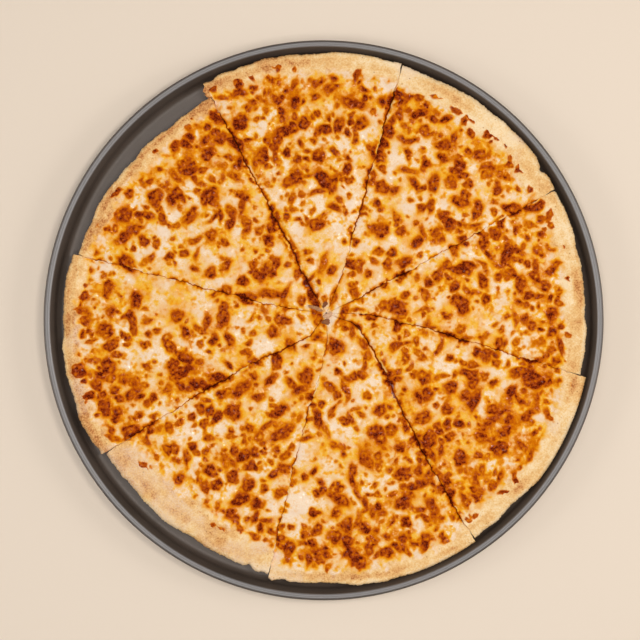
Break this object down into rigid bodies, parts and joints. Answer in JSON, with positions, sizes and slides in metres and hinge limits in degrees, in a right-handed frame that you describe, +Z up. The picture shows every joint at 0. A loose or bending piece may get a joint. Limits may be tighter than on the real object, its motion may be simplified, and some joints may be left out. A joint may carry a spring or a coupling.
{
  "type": "sliced cheese pizza in a round pan",
  "caption": "Baked cheese pizza cut into wedges that keep its round shape, lying in a low round metal pan with a rolled lip.",
  "frame": {"origin": "middle of the pan's flat underside, on the surface that it stands on", "axes": "+Z up through the pizza, +Y towards the back slice, +X to the right seen from above"},
  "size_m": [0.4064, 0.4064, 0.016],
  "materials": {
    "pan_metal": "dark hard-coated satin with a fine grain",
    "baked_dough": "pale golden baked dough, floury and matt",
    "tomato_sauce": "dark red, moist",
    "browned_cheese": "cream melted cheese with browned spots, oily satin"
  },
  "bodies": {
    "root": {"pan": "pan_metal", "crust_1": "baked_dough", "crust_2": "baked_dough", "crust_3": "baked_dough", "crust_4": "baked_dough", "crust_5": "baked_dough", "crust_6": "baked_dough", "crust_7": "baked_dough", "crust_8": "baked_dough", "sauce_1": "tomato_sauce", "sauce_2": "tomato_sauce", "sauce_3": "tomato_sauce", "sauce_4": "tomato_sauce", "sauce_5": "tomato_sauce", "sauce_6": "tomato_sauce", "sauce_7": "tomato_sauce", "sauce_8": "tomato_sauce", "cheese_1": "browned_cheese", "cheese_2": "browned_cheese", "cheese_3": "browned_cheese", "cheese_4": "browned_cheese", "cheese_5": "browned_cheese", "cheese_6": "browned_cheese", "cheese_7": "browned_cheese", "cheese_8": "browned_cheese"}
  },
  "joints": []
}
